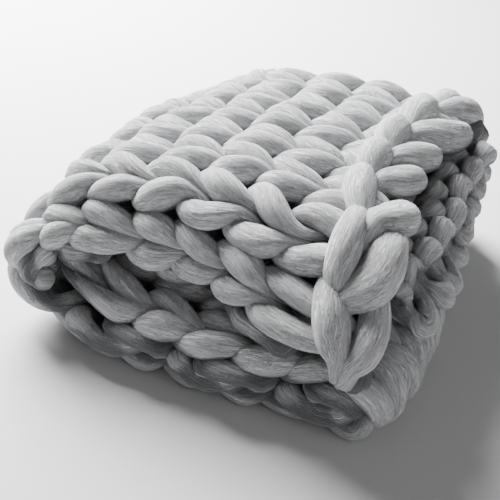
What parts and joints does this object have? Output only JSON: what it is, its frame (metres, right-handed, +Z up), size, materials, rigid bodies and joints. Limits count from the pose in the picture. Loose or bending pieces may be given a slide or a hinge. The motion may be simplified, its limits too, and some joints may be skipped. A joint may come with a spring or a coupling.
{
  "type": "folded chunky knit blanket",
  "caption": "Hand-knit blanket of very thick wool roving in plain stockinette, folded in half twice and laid flat in a soft pile.",
  "frame": {"origin": "under the middle of the folded pile's box, on the surface that it rests on", "axes": "+X along the front edge, towards the end with the edge chain; +Y from the front edge to the back; +Z up"},
  "size_m": [0.5094, 0.4898, 0.2305],
  "materials": {
    "wool": "matt grey wool roving"
  },
  "bodies": {
    "root": {"blanket": "wool"}
  },
  "joints": []
}
